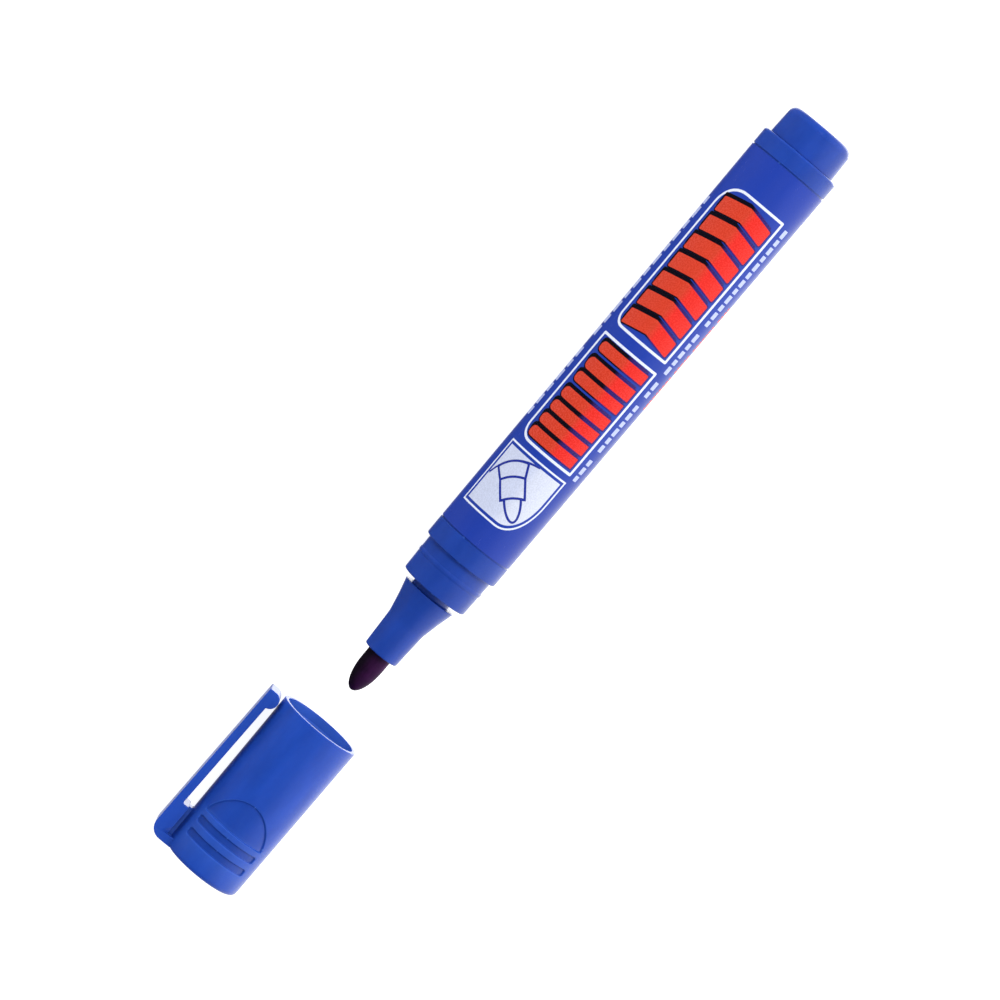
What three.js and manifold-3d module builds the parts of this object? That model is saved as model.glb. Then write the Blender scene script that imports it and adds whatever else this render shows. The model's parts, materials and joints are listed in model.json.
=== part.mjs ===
// Bullet-nib marker lying on its side, with its cap pulled off and laid in line with the nib.
// Millimetres, +Z up, +X along the pen from the tail towards the cap. The pen and the cap share
// one axis, so the cap closes by a straight slide. The origin is the centre of the bottom face
// of the whole object's bounding box.
import * as THREE from 'three';
import { mergeVertices } from 'three/addons/utils/BufferGeometryUtils.js';
import Module from 'manifold-3d';

const wasm = await Module();
wasm.setup();

// ---------------------------------------------------------------------------------------------
// Driving dimensions. Pen stations run along the axis from the flat tail end (0) to the nib tip.
// Cap depths run the same way from the cap's mouth (0) to its closed end.
// ---------------------------------------------------------------------------------------------
const ROUND_SEGMENTS = 48;
const ARC_STEPS = 3;

const PLUG = {
  rimRadius: 7.17,
  endRadius: 6.98,
  edgeRound: 1.6,
  shoulder: 6.45,
  spigotRadius: 6.88,
  spigotEnd: 13.0,
  hollowRadius: 5.8,
  endWall: 1.6,
};

const BARREL = {
  rear: 6.5,
  front: 103.35,
  rearRadius: 8.33,
  frontRadius: 7.95,
  rearRound: 0.5,
  frontRound: 0.25,
  boreRearRadius: 6.95,
  boreFrontRadius: 6.8,
  boreEnd: 101.6,
  boreCone: 0.9,
};

const LABEL = { rear: 10.0, front: 99.27, recess: 0.14, sink: 0.01, thickness: 0.11, endGap: 0.3 };

const COLLAR = {
  front: 111.0,
  rearRadius: 7.14,
  frontRadius: 7.0,
  frontRound: 0.3,
  boreRadius: 5.95,
  bead: 106.3,
  beadHalfWidth: 0.45,
  beadHeight: 0.09,
};

const HOLDER = {
  rear: 98.2,
  spigotRadius: 3.8,
  plugRear: 103.1,
  plugRadius: 5.88,
  neckRadius: 4.15,
  neckEnd: 112.15,
  coneRadius: 5.58,
  knee: 119.0,
  kneeRadius: 3.93,
  front: 126.45,
  frontRadius: 3.6,
  frontRound: 0.2,
  boreRadius: 2.5,
};

const NIB = { rear: 92.4, radius: 2.45, tip: 135.0, bulletLength: 6.2, rearChamfer: 0.4 };

const RESERVOIR = {
  rear: 13.3,
  front: 97.9,
  radius: 6.25,
  socketRadius: 2.75,
  socketDepth: 5.9,
  wrapGap: 0.03,
  wrapThickness: 0.15,
  wrapInset: 0.3,
};

const CAP = {
  length: 35.25,
  mouthRadius: 8.4,
  endRadius: 8.15,
  endRound: 1.0,
  mouthRound: 0.25,
  mouthBoreRadius: 7.55,
  ledgeBoreRadius: 7.35,
  ledge: 15.95,
  deepBoreRadius: 6.65,
  endWall: 2.05,
  snapDepth: 2.3,
  snapHalfWidth: 0.5,
  snapHeight: 0.2,
};

const INNER_CAP = {
  mouth: 14.95,
  flangeRadius: 7.1,
  flangeThickness: 0.9,
  mouthBoreRadius: 4.3,
  mouthChamfer: 0.3,
  floorBoreRadius: 4.2,
  floor: 32.35,
  wallRadius: 5.5,
  rear: 33.05,
};

// The clip stands off the cap on its -Y side. Distances are from the cap's axis.
const CLIP = {
  tip: 0.2,
  split: 26.95,
  splitHalfGap: 0.15,
  end: 35.15,
  width: 7.0,
  tipOuter: 11.57,
  slope: 0.0158,
  thickness: 1.65,
  endCorner: 2.5,
  endBlock: 1.7,
  webUnder: 8.9,
  footWidth: 3.0,
  footEnd: 7.3,
  blockFoot: 7.0,
  nubDepth: 1.93,
  nubReach: 8.6,
  nubRadius: 1.77,
};

// Finger grip sunk into both flanks of the cap: two bars and a half moon, seen square on.
const GRIP = {
  halfHeight: 6.5,
  sink: 0.35,
  barWidth: 1.5,
  barRound: 0.4,
  barCentres: [29.9, 26.9],
  moonBase: 24.92,
  moonHeight: 6.5,
  moonRoundness: 0.66,
  moonSteps: 24,
};

// The cap's mouth stands this far past the nib tip when the cap is off.
const CAP_STANDOFF = 8.7;
const CAP_MOUTH_STATION = NIB.tip + CAP_STANDOFF;

// ---------------------------------------------------------------------------------------------
// Materials
// ---------------------------------------------------------------------------------------------
function material(color, roughness) {
  return new THREE.MeshStandardMaterial({ color, roughness, metalness: 0 });
}

const BLUE_PLASTIC = 0x2b50be;
const LABEL_BLUE = 0x3241b4;
const FIBRE = 0x2a1238;
const INKED_FELT = 0x2c1434;
const CLEAR_FILM = 0xe8ecf2;

// ---------------------------------------------------------------------------------------------
// Geometry helpers
// ---------------------------------------------------------------------------------------------

// Leaves position only, welds shared vertices and drops triangles of no area.
function welded(geometry) {
  const bare = geometry.clone();
  bare.deleteAttribute('normal');
  bare.deleteAttribute('uv');
  const joined = mergeVertices(bare);
  const index = joined.getIndex().array;
  const kept = [];
  for (let i = 0; i < index.length; i += 3) {
    const [a, b, c] = index.slice(i, i + 3);
    if (a !== b && b !== c && c !== a) kept.push(a, b, c);
  }
  joined.setIndex(kept);
  return joined;
}

function toSolid(geometry) {
  const closed = welded(geometry);
  return new wasm.Manifold(new wasm.Mesh({
    numProp: 3,
    vertProperties: new Float32Array(closed.getAttribute('position').array),
    triVerts: new Uint32Array(closed.getIndex().array),
  }));
}

function toGeometry(solid) {
  const mesh = solid.getMesh();
  const geometry = new THREE.BufferGeometry();
  geometry.setAttribute('position', new THREE.BufferAttribute(mesh.vertProperties, 3));
  geometry.setIndex(new THREE.BufferAttribute(mesh.triVerts, 1));
  geometry.computeVertexNormals();
  return geometry;
}

function piece(name, geometry, look) {
  const mesh = new THREE.Mesh(geometry, look);
  mesh.name = name;
  return mesh;
}

// Turns an outline of (radius, station) points round the X axis. The outline runs forward along
// the outside and backward along the inside, so that the faces point out.
function turned(outline) {
  const lathe = new THREE.LatheGeometry(outline.getPoints(ARC_STEPS), ROUND_SEGMENTS);
  lathe.rotateZ(-Math.PI / 2);
  return welded(lathe);
}

// Extrudes a flat shape drawn in X and Y to a plate of the given width, centred on Z = 0.
function plate(shape, width) {
  const geometry = new THREE.ExtrudeGeometry(shape, {
    depth: width,
    bevelEnabled: false,
    curveSegments: 8,
  });
  geometry.translate(0, 0, -width / 2);
  return geometry;
}

function between(value, start, end, atStart, atEnd) {
  return THREE.MathUtils.mapLinear(value, start, end, atStart, atEnd);
}

// ---------------------------------------------------------------------------------------------
// Pen: everything that stays together when the cap comes off
// ---------------------------------------------------------------------------------------------

// Outer radius of the barrel, which widens slightly towards the tail.
function barrelRadius(station) {
  return between(station, BARREL.rear, BARREL.front, BARREL.rearRadius, BARREL.frontRadius);
}

// Rear plug: a hollow stopper whose spigot is pushed into the barrel's open rear end.
function rearPlug() {
  const { rimRadius, endRadius, edgeRound, shoulder, spigotRadius, spigotEnd } = PLUG;
  const outline = new THREE.Path();
  outline.moveTo(0, 0);
  outline.lineTo(endRadius - edgeRound, 0);
  outline.absarc(endRadius - edgeRound, edgeRound, edgeRound, -Math.PI / 2, 0, false);
  outline.lineTo(rimRadius, shoulder);
  outline.lineTo(spigotRadius, shoulder);
  outline.lineTo(spigotRadius, spigotEnd);
  outline.lineTo(PLUG.hollowRadius, spigotEnd);
  outline.lineTo(PLUG.hollowRadius, PLUG.endWall);
  outline.lineTo(0, PLUG.endWall);
  return piece('rear_plug', turned(outline), material(BLUE_PLASTIC, 0.32));
}

// Barrel: one moulded tube with a shallow label recess and a stepped collar for the cap.
function barrel() {
  const { rear, front, rearRound, frontRound, boreEnd, boreCone } = BARREL;
  const outline = new THREE.Path();
  outline.moveTo(BARREL.boreRearRadius, rear);
  outline.lineTo(barrelRadius(rear) - rearRound, rear);
  outline.absarc(barrelRadius(rear) - rearRound, rear + rearRound, rearRound, -Math.PI / 2, 0, false);
  outline.lineTo(barrelRadius(LABEL.rear), LABEL.rear);
  outline.lineTo(barrelRadius(LABEL.rear) - LABEL.recess, LABEL.rear);
  outline.lineTo(barrelRadius(LABEL.front) - LABEL.recess, LABEL.front);
  outline.lineTo(barrelRadius(LABEL.front), LABEL.front);
  outline.absarc(barrelRadius(front) - frontRound, front - frontRound, frontRound, 0, Math.PI / 2, false);
  outline.lineTo(COLLAR.rearRadius, front);

  const { bead, beadHalfWidth, beadHeight, frontRadius } = COLLAR;
  const beadRadius = between(bead, front, COLLAR.front, COLLAR.rearRadius, frontRadius);
  outline.lineTo(beadRadius, bead - beadHalfWidth);
  outline.quadraticCurveTo(beadRadius + 2 * beadHeight, bead, beadRadius, bead + beadHalfWidth);
  outline.absarc(
    frontRadius - COLLAR.frontRound, COLLAR.front - COLLAR.frontRound, COLLAR.frontRound,
    0, Math.PI / 2, false,
  );
  outline.lineTo(COLLAR.boreRadius, COLLAR.front);
  outline.lineTo(COLLAR.boreRadius, boreEnd + boreCone);
  outline.lineTo(BARREL.boreFrontRadius, boreEnd);
  outline.closePath();
  return piece('barrel', turned(outline), material(BLUE_PLASTIC, 0.32));
}

// Label: a thin printed sleeve that lies flush in the barrel's recess.
function labelFilm() {
  const rear = LABEL.rear + LABEL.endGap;
  const front = LABEL.front - LABEL.endGap;
  const outerDrop = LABEL.sink;
  const innerDrop = LABEL.sink + LABEL.thickness;
  const outline = new THREE.Path();
  outline.moveTo(barrelRadius(rear) - innerDrop, rear);
  outline.lineTo(barrelRadius(rear) - outerDrop, rear);
  outline.lineTo(barrelRadius(front) - outerDrop, front);
  outline.lineTo(barrelRadius(front) - innerDrop, front);
  outline.closePath();
  return piece('label_film', turned(outline), material(LABEL_BLUE, 0.25));
}

// Nib holder: a spout with a waisted neck, its plug pushed into the barrel's collar.
function nibHolder() {
  const { rear, plugRear, plugRadius, neckRadius, neckEnd, front, frontRadius, frontRound } = HOLDER;
  const outline = new THREE.Path();
  outline.moveTo(HOLDER.boreRadius, rear);
  outline.lineTo(HOLDER.spigotRadius, rear);
  outline.lineTo(HOLDER.spigotRadius, plugRear);
  outline.lineTo(plugRadius, plugRear);
  outline.lineTo(plugRadius, COLLAR.front);
  outline.lineTo(neckRadius, COLLAR.front);
  outline.lineTo(neckRadius, neckEnd);
  outline.lineTo(HOLDER.coneRadius, neckEnd);
  outline.lineTo(HOLDER.kneeRadius, HOLDER.knee);
  outline.absarc(frontRadius - frontRound, front - frontRound, frontRound, 0, Math.PI / 2, false);
  outline.lineTo(HOLDER.boreRadius, front);
  outline.closePath();
  return piece('nib_holder', turned(outline), material(BLUE_PLASTIC, 0.32));
}

// Nib: a felt rod with a bullet tip; its rear end reaches into the reservoir.
function nib() {
  const { rear, radius, tip, bulletLength, rearChamfer } = NIB;
  const outline = new THREE.Path();
  outline.moveTo(0, rear);
  outline.lineTo(radius - rearChamfer, rear);
  outline.lineTo(radius, rear + rearChamfer);
  outline.absellipse(0, tip - bulletLength, radius, bulletLength, 0, Math.PI / 2, false);
  return piece('nib', turned(outline), material(INKED_FELT, 0.85));
}

// Ink reservoir: a rod of fibre with a socket for the nib's rear end.
function inkReservoir() {
  const { rear, front, radius, socketRadius, socketDepth } = RESERVOIR;
  const outline = new THREE.Path();
  outline.moveTo(0, rear);
  outline.lineTo(radius, rear);
  outline.lineTo(radius, front);
  outline.lineTo(socketRadius, front);
  outline.lineTo(socketRadius, front - socketDepth);
  outline.lineTo(0, front - socketDepth);
  return piece('ink_reservoir', turned(outline), material(FIBRE, 0.95));
}

// Reservoir wrap: the film sleeve that keeps the fibre rod together.
function reservoirWrap() {
  const { rear, front, radius, wrapGap, wrapThickness, wrapInset } = RESERVOIR;
  const inner = radius + wrapGap;
  const outer = inner + wrapThickness;
  const outline = new THREE.Path();
  outline.moveTo(inner, rear + wrapInset);
  outline.lineTo(outer, rear + wrapInset);
  outline.lineTo(outer, front - wrapInset);
  outline.lineTo(inner, front - wrapInset);
  outline.closePath();
  return piece('reservoir_wrap', turned(outline), material(CLEAR_FILM, 0.3));
}

// ---------------------------------------------------------------------------------------------
// Cap, in its own frame: mouth at X = 0, closed end towards +X, clip on the -Y side
// ---------------------------------------------------------------------------------------------

// Outer radius of the cap, which narrows slightly towards its closed end.
function capRadius(depth) {
  return between(depth, 0, CAP.length, CAP.mouthRadius, CAP.endRadius);
}

// Distance from the cap's axis to the clip's outer face.
function clipOuter(depth) {
  return CLIP.tipOuter + CLIP.slope * (depth - CLIP.tip);
}

// Cup of the cap: stepped bore with a snap ring near the mouth and a ledge for the inner cap.
function capCup() {
  const { length, endRound, mouthRound, mouthBoreRadius, ledgeBoreRadius, ledge } = CAP;
  const { snapDepth, snapHalfWidth, snapHeight } = CAP;
  const floor = length - CAP.endWall;
  const snapBore = between(snapDepth, 0, ledge, mouthBoreRadius, ledgeBoreRadius);
  const endRadius = capRadius(length);
  const outline = new THREE.Path();
  outline.moveTo(0, floor);
  outline.lineTo(CAP.deepBoreRadius, floor);
  outline.lineTo(CAP.deepBoreRadius, ledge);
  outline.lineTo(ledgeBoreRadius, ledge);
  outline.lineTo(snapBore, snapDepth + snapHalfWidth);
  outline.quadraticCurveTo(snapBore - 2 * snapHeight, snapDepth, snapBore, snapDepth - snapHalfWidth);
  outline.lineTo(mouthBoreRadius, 0);
  outline.absarc(capRadius(0) - mouthRound, mouthRound, mouthRound, -Math.PI / 2, 0, false);
  outline.absarc(endRadius - endRound, length - endRound, endRound, 0, Math.PI / 2, false);
  outline.lineTo(0, length);
  return toSolid(turned(outline));
}

// Root of the clip: the strap's deep rear end on a narrow foot, turned down over the cap's end.
function clipRoot() {
  const start = CLIP.split + CLIP.splitHalfGap;
  const blockStart = CLIP.end - CLIP.endBlock;
  const cornerStart = CLIP.end - CLIP.endCorner;
  const cornerOuter = clipOuter(cornerStart);
  const strap = new THREE.Shape();
  strap.moveTo(start, -clipOuter(start));
  strap.lineTo(cornerStart, -cornerOuter);
  strap.absarc(cornerStart, CLIP.endCorner - cornerOuter, CLIP.endCorner, -Math.PI / 2, 0, false);
  strap.lineTo(CLIP.end, -CLIP.blockFoot);
  strap.lineTo(blockStart, -CLIP.blockFoot);
  strap.lineTo(blockStart, -CLIP.webUnder);
  strap.lineTo(start, -CLIP.webUnder);
  const overlap = 0.5;
  const foot = new THREE.Shape();
  foot.moveTo(start, -CLIP.footEnd);
  foot.lineTo(start, -CLIP.webUnder - overlap);
  foot.lineTo(blockStart + overlap, -CLIP.webUnder - overlap);
  foot.lineTo(blockStart + overlap, -CLIP.footEnd);
  return toSolid(plate(strap, CLIP.width)).add(toSolid(plate(foot, CLIP.footWidth)));
}

// Bar of the finger grip: a slot across the flank with rounded corners.
function gripBar(centre) {
  const { halfHeight, barWidth, barRound } = GRIP;
  const [left, right] = [centre - barWidth / 2, centre + barWidth / 2];
  const bar = new THREE.Shape();
  bar.absarc(right - barRound, halfHeight - barRound, barRound, 0, Math.PI / 2, false);
  bar.absarc(left + barRound, halfHeight - barRound, barRound, Math.PI / 2, Math.PI, false);
  bar.absarc(left + barRound, barRound - halfHeight, barRound, Math.PI, Math.PI * 1.5, false);
  bar.absarc(right - barRound, barRound - halfHeight, barRound, Math.PI * 1.5, Math.PI * 2, false);
  return bar;
}

// Half moon of the finger grip: straight towards the closed end, rounded towards the mouth.
function gripMoon() {
  const { halfHeight, moonBase, moonHeight, moonRoundness, moonSteps } = GRIP;
  const points = [];
  for (let k = 0; k <= moonSteps; k += 1) {
    const share = Math.cos((Math.PI * k) / moonSteps);
    const bulge = moonHeight * (1 - share ** 2) ** moonRoundness;
    points.push(new THREE.Vector2(moonBase - bulge, halfHeight * share));
  }
  return new THREE.Shape(points);
}

// Skin of the cap between the grip's sunk floor and the open air.
function gripSkin() {
  const [start, end] = [GRIP.moonBase - 2 * GRIP.moonHeight, CLIP.end - CLIP.endBlock];
  const outside = 1.0;
  const outline = new THREE.Path();
  outline.moveTo(capRadius(start) - GRIP.sink, start);
  outline.lineTo(capRadius(start) + outside, start);
  outline.lineTo(capRadius(end) + outside, end);
  outline.lineTo(capRadius(end) - GRIP.sink, end);
  outline.closePath();
  return toSolid(turned(outline));
}

// The prisms run right through the cap, so one set sinks the grip into both flanks.
function gripCuts() {
  const throughBoth = 2 * (CAP.mouthRadius + 1);
  const shapes = [gripMoon(), ...GRIP.barCentres.map(gripBar)];
  const prisms = shapes.map((shape) => toSolid(plate(shape, throughBoth)));
  const joined = prisms.reduce((sum, prism) => sum.add(prism));
  return joined.intersect(gripSkin());
}

function capShell() {
  const solid = capCup().add(clipRoot()).subtract(gripCuts());
  return piece('cap_shell', toGeometry(solid), material(BLUE_PLASTIC, 0.32));
}

// Clip: the springy strap with a rounded nub on the inside of its tip.
function capClip() {
  const root = CLIP.split - CLIP.splitHalfGap;
  const inner = (depth) => CLIP.thickness - clipOuter(depth);
  const { tip, nubDepth, nubReach, nubRadius } = CLIP;
  const nubCentre = -(nubReach + nubRadius);
  const nubAngle = Math.acos((inner(nubDepth) - nubCentre) / nubRadius);
  const side = new THREE.Shape();
  side.moveTo(tip, -clipOuter(tip));
  side.lineTo(root, -clipOuter(root));
  side.lineTo(root, inner(root));
  side.absarc(nubDepth, nubCentre, nubRadius, Math.PI / 2 - nubAngle, Math.PI / 2 + nubAngle, false);
  side.lineTo(tip, inner(tip));
  return piece('cap_clip', welded(plate(side, CLIP.width)), material(BLUE_PLASTIC, 0.32));
}

// Inner cap: a sealing cup that closes round the nib, held by a flange against the cap's ledge.
function innerCap() {
  const { mouth, flangeRadius, flangeThickness, mouthBoreRadius, mouthChamfer, floor } = INNER_CAP;
  const outline = new THREE.Path();
  outline.moveTo(0, floor);
  outline.lineTo(INNER_CAP.floorBoreRadius, floor);
  outline.lineTo(mouthBoreRadius, mouth + mouthChamfer);
  outline.lineTo(mouthBoreRadius + mouthChamfer, mouth);
  outline.lineTo(flangeRadius, mouth);
  outline.lineTo(flangeRadius, mouth + flangeThickness);
  outline.lineTo(INNER_CAP.wallRadius, mouth + flangeThickness);
  outline.lineTo(INNER_CAP.wallRadius, INNER_CAP.rear);
  outline.lineTo(0, INNER_CAP.rear);
  return piece('inner_cap', turned(outline), material(BLUE_PLASTIC, 0.4));
}

// ---------------------------------------------------------------------------------------------
// Assembly: the cap is rolled until the clip's outer corner meets the surface it lies on
// ---------------------------------------------------------------------------------------------
function clipRoll() {
  const outer = clipOuter(CLIP.end - CLIP.endCorner);
  const reach = Math.hypot(outer, CLIP.width / 2);
  return Math.asin(CAP.mouthRadius / reach) - Math.atan2(CLIP.width / 2, outer);
}

const pen = new THREE.Group();
pen.add(rearPlug(), barrel(), labelFilm(), nibHolder(), nib(), inkReservoir(), reservoirWrap());

const cap = new THREE.Group();
cap.add(capShell(), capClip(), innerCap());
cap.position.x = CAP_MOUTH_STATION;
cap.rotation.x = clipRoll();

const marker = new THREE.Group();
marker.add(pen, cap);
marker.updateMatrixWorld(true);
const extent = new THREE.Box3().setFromObject(marker, true);
const middle = extent.getCenter(new THREE.Vector3());
marker.position.set(-middle.x, -middle.y, -extent.min.z);

export default marker;
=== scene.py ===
"""Looks of the bullet-nib marker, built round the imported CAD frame."""
import json
import math

import bmesh
import bpy
from mathutils import Matrix, Vector


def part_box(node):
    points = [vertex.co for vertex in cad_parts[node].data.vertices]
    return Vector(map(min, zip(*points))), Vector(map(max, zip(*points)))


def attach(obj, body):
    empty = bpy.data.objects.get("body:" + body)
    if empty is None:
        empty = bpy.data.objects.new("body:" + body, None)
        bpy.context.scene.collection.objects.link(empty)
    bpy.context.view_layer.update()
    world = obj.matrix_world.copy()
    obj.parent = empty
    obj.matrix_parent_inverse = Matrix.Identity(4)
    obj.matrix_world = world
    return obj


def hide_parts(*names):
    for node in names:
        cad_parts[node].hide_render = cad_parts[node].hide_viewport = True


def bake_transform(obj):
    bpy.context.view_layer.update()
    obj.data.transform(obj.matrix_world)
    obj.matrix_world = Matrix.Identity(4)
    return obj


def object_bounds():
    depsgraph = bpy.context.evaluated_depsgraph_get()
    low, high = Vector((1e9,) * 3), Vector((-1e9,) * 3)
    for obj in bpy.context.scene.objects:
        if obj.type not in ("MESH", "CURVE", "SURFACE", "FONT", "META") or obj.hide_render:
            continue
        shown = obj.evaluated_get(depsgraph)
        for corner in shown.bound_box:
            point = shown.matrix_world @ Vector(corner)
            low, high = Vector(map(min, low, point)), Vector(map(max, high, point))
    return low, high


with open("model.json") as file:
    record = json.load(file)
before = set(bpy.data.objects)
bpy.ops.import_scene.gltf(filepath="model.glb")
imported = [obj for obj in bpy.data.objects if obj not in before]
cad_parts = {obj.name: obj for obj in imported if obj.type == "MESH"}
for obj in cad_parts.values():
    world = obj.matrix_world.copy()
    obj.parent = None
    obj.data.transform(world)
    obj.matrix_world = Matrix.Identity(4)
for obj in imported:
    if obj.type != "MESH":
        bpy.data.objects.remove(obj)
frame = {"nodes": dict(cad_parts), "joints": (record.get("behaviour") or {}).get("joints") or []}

CAD_LOW, CAD_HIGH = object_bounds()

# ---------------------------------------------------------------------------------------------
# Places, from the frame. Lengths below are in millimetres unless a name ends in _M.
# Pen stations run along the axis from the flat tail end; cap depths run from the cap's mouth.
# ---------------------------------------------------------------------------------------------
MM = 0.001
LABEL_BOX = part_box("label_film")
AXIS_Y_M = (LABEL_BOX[0].y + LABEL_BOX[1].y) / 2
AXIS_Z_M = (LABEL_BOX[0].z + LABEL_BOX[1].z) / 2
TAIL_X_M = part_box("rear_plug")[0].x
MOUTH_X_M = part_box("cap_shell")[0].x


def station_of(x_m):
    return (x_m - TAIL_X_M) / MM


def depth_of(x_m):
    return (x_m - MOUTH_X_M) / MM


def radius_of(node):
    return (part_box(node)[1].z - AXIS_Z_M) / MM


PLUG_SPIGOT_END = station_of(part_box("rear_plug")[1].x)
BARREL_REAR = station_of(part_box("barrel")[0].x)
COLLAR_FRONT = station_of(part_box("barrel")[1].x)
LABEL_REAR = station_of(LABEL_BOX[0].x)
LABEL_FRONT = station_of(LABEL_BOX[1].x)
HOLDER_REAR = station_of(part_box("nib_holder")[0].x)
HOLDER_FRONT = station_of(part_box("nib_holder")[1].x)
NIB_REAR = station_of(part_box("nib")[0].x)
NIB_TIP = station_of(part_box("nib")[1].x)
CAP_LENGTH = depth_of(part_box("cap_shell")[1].x)
INNER_CAP_MOUTH = depth_of(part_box("inner_cap")[0].x)
INNER_CAP_REAR = depth_of(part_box("inner_cap")[1].x)
CLIP_TIP = depth_of(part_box("cap_clip")[0].x)

BARREL_REAR_RADIUS = radius_of("barrel")
BARREL_FRONT_RADIUS = 7.95
BARREL_FRONT = 103.35
LABEL_EDGE_GAP = 0.3
LABEL_RECESS = 0.14
LINE_DEPTH = 0.22
LABEL_SINK = 0.01
SPOUT_SEAT = 5.95        # radius of the barrel's bore that holds the nib holder

CLIP_JOINT = next(j for j in frame["joints"] if j["name"] == "clip_flex")
CLIP_ROLL = math.atan2(-CLIP_JOINT["axis"][1], CLIP_JOINT["axis"][2])
# Angles round the axis are measured from straight up, positive towards the clip's side.
CLIP_ANGLE = CLIP_ROLL + math.pi / 2
ART_ANGLE = math.radians(33.4)
PAINTED_LIGHT_OFFSET = 0.85   # from the middle of the art to where the painted light of the far side begins

ROUND = 192              # columns round a turned piece

# ---------------------------------------------------------------------------------------------
# Outlines
# ---------------------------------------------------------------------------------------------


def filleted(corners, closed=False, steps=5):
    """Rounds the corners of an outline given as (a, b) or (a, b, fillet radius)."""
    count = len(corners)
    points = []
    for i, corner in enumerate(corners):
        here = Vector(corner[:2])
        fillet = corner[2] if len(corner) > 2 else 0
        if fillet == 0 or (not closed and i in (0, count - 1)):
            points.append(here)
            continue
        back = (Vector(corners[i - 1][:2]) - here).normalized()
        ahead = (Vector(corners[(i + 1) % count][:2]) - here).normalized()
        half = back.angle(ahead) / 2
        centre = here + (back + ahead).normalized() * (fillet / math.sin(half))
        start = here + back * (fillet / math.tan(half)) - centre
        end = here + ahead * (fillet / math.tan(half)) - centre
        sweep = start.angle_signed(end)
        for k in range(steps + 1):
            turn = Matrix.Rotation(-sweep * k / steps, 2)
            points.append(centre + turn @ start)
    return points


def arc(centre, radius, start, end, steps):
    """Points of a circular arc, with angles in degrees."""
    found = []
    for k in range(steps + 1):
        angle = math.radians(start + (end - start) * k / steps)
        a = centre[0] + radius * math.cos(angle)
        b = centre[1] + radius * math.sin(angle)
        found.append(Vector((a, b)))
    return found


def subdivided(points, longest):
    """Splits the sides of a closed outline that are longer than longest."""
    found = []
    for here, following in zip(points, points[1:] + points[:1]):
        pieces = max(1, math.ceil((following - here).length / longest))
        found += [here.lerp(following, k / pieces) for k in range(pieces)]
    return found


def area_of(points):
    """Area of a closed outline, negative when it runs clockwise."""
    return sum(a.x * b.y - b.x * a.y for a, b in zip(points, points[1:] + points[:1])) / 2


def grown(points, distance):
    """Moves every side of a closed outline outward by distance, or inward if it is negative."""
    points = [Vector(p) for p in points]
    sign = 1 if area_of(points) > 0 else -1
    found = []
    for i, here in enumerate(points):
        back = (here - points[i - 1]).normalized()
        ahead = (points[(i + 1) % len(points)] - here).normalized()
        normal = Vector((back.y + ahead.y, -back.x - ahead.x)).normalized() * sign
        lean = max(0.2, normal.dot(Vector((back.y, -back.x)) * sign))
        found.append(here + normal * (distance / lean))
    return found


# ---------------------------------------------------------------------------------------------
# Meshes
# ---------------------------------------------------------------------------------------------


def around(radius, angle):
    """y and z, in metres, of a point at a radius and an angle round the pen's axis."""
    y = AXIS_Y_M - radius * MM * math.sin(angle)
    z = AXIS_Z_M + radius * MM * math.cos(angle)
    return y, z


def object_from(name, bm):
    """Ends a bmesh and puts it in the scene, with its faces pointing out."""
    bmesh.ops.recalc_face_normals(bm, faces=bm.faces)
    mesh = bpy.data.meshes.new(name)
    bm.to_mesh(mesh)
    bm.free()
    obj = bpy.data.objects.new(name, mesh)
    bpy.context.scene.collection.objects.link(obj)
    return obj


def revolved(name, outline, origin_x_m, angles=None, swell=None, closed=False):
    """Turns an outline of (radius, station) round the axis. swell gives extra radius at a point."""
    angles = angles or [2 * math.pi * k / ROUND for k in range(ROUND)]
    bm = bmesh.new()
    rings = []
    for radius, station in outline:
        x = origin_x_m + station * MM
        if radius < 1e-6:
            rings.append([bm.verts.new((x, AXIS_Y_M, AXIS_Z_M))])
            continue
        ring = []
        for angle in angles:
            extra = swell(radius, station, angle) if swell else 0
            ring.append(bm.verts.new((x, *around(radius + extra, angle))))
        rings.append(ring)
    pairs = list(zip(rings, rings[1:]))
    if closed:
        pairs.append((rings[-1], rings[0]))
    for low, high in pairs:
        for k in range(len(angles)):
            k2 = (k + 1) % len(angles)
            corners = [low[k % len(low)], low[k2 % len(low)]]
            corners += [high[k2 % len(high)], high[k % len(high)]]
            kept = [v for i, v in enumerate(corners) if v not in corners[:i]]
            if len(kept) > 2:
                bm.faces.new(kept)
    return object_from(name, bm)


def cap_point(depth, height, across):
    """A point from the cap's own frame. Height is towards the clip, across is over its width."""
    turn_y, turn_z = -math.sin(CLIP_ANGLE), math.cos(CLIP_ANGLE)
    y = AXIS_Y_M + (height * turn_y - across * turn_z) * MM
    z = AXIS_Z_M + (height * turn_z + across * turn_y) * MM
    return (MOUTH_X_M + depth * MM, y, z)


def plate(name, outline, width, rim, steps=4):
    """A flat piece drawn in (depth, height), with its two rims rounded."""
    levels = []
    for k in range(steps + 1):
        angle = math.pi / 2 * k / steps
        levels.append((rim * (1 - math.sin(angle)), width / 2 - rim * (1 - math.cos(angle))))
    stack = [(inset, -across) for inset, across in levels] + [(i, a) for i, a in reversed(levels)]
    bm = bmesh.new()
    loops = []
    for inset, across in stack:
        loops.append([bm.verts.new(cap_point(p.x, p.y, across)) for p in grown(outline, -inset)])
    for low, high in zip(loops, loops[1:]):
        for k in range(len(low)):
            k2 = (k + 1) % len(low)
            bm.faces.new((low[k], low[k2], high[k2], high[k]))
    bm.faces.new(loops[0])
    bm.faces.new(loops[-1])
    return object_from(name, bm)


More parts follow.
